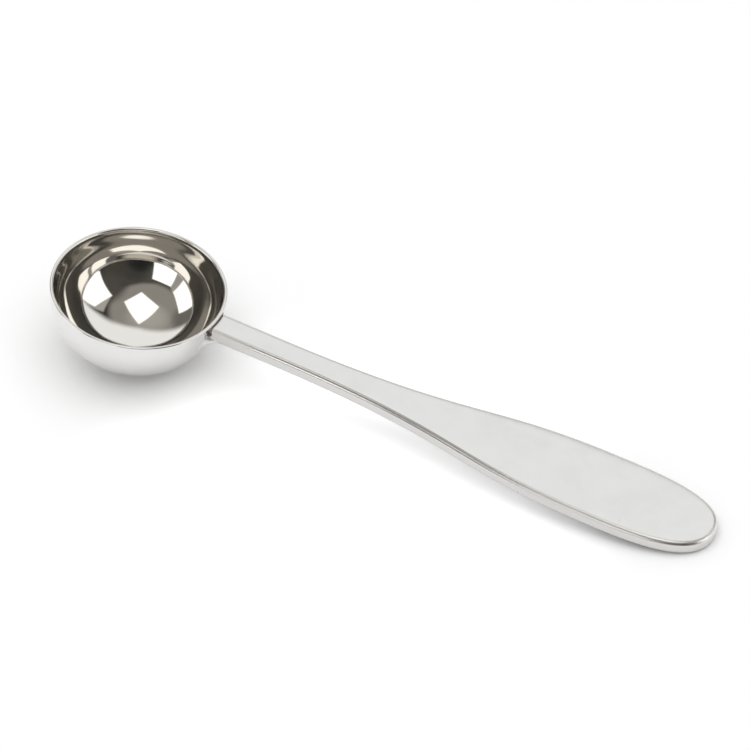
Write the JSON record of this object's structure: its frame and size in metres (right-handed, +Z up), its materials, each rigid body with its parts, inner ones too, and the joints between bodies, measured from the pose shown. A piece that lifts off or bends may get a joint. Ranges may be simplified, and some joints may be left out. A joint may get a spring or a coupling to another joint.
{
  "type": "measuring teaspoon",
  "caption": "Polished steel measuring teaspoon: a deep round bowl with a flat plate handle welded to its side, widening to a rounded grip.",
  "frame": {"origin": "on the table, below the middle of the spoon's length, with the spoon lying on the bottom of its bowl and the end of its handle", "axes": "+X from the bowl towards the end of the handle, +Y to the left seen from the bowl, +Z up from the table, out of the bowl"},
  "size_m": [0.1544, 0.038, 0.0194],
  "materials": {
    "bowl_steel": "polished",
    "handle_steel": "polished",
    "weld_steel": "satin"
  },
  "bodies": {
    "root": {"bowl": "bowl_steel", "handle": "handle_steel", "weld": "weld_steel"}
  },
  "joints": []
}
